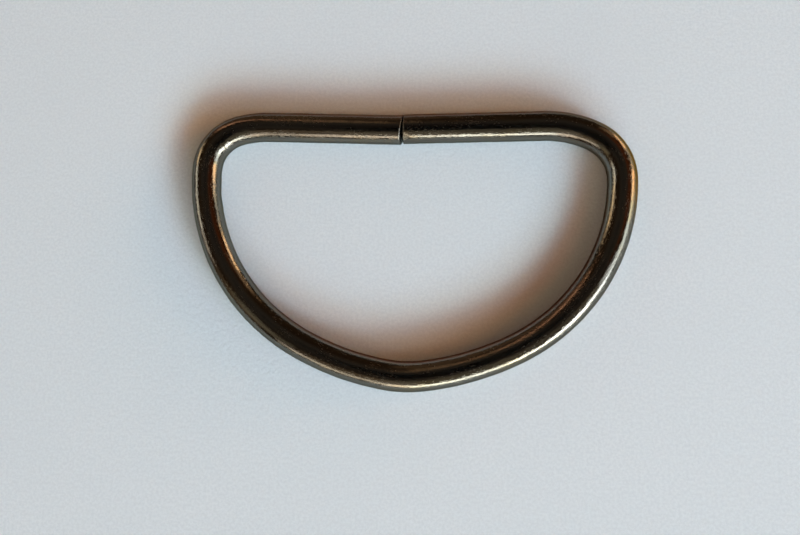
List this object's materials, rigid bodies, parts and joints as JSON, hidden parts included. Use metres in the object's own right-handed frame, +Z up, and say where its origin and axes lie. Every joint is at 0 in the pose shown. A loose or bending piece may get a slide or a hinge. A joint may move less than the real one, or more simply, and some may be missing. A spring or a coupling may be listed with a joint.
{
  "type": "d ring",
  "caption": "D-shaped ring bent from round plated wire, with an open butt joint in its straight bar, for holding webbing or a strap.",
  "frame": {"origin": "under the middle of the ring's outer box, on the surface that it lies on", "axes": "+X along the straight bar, +Y from the bow to the bar, +Z up through the D's opening"},
  "size_m": [0.0576, 0.0362, 0.0039],
  "materials": {
    "plated_wire": "dark nickel plate, polished, lightly worn and speckled"
  },
  "bodies": {
    "root": {"ring": "plated_wire"}
  },
  "joints": []
}
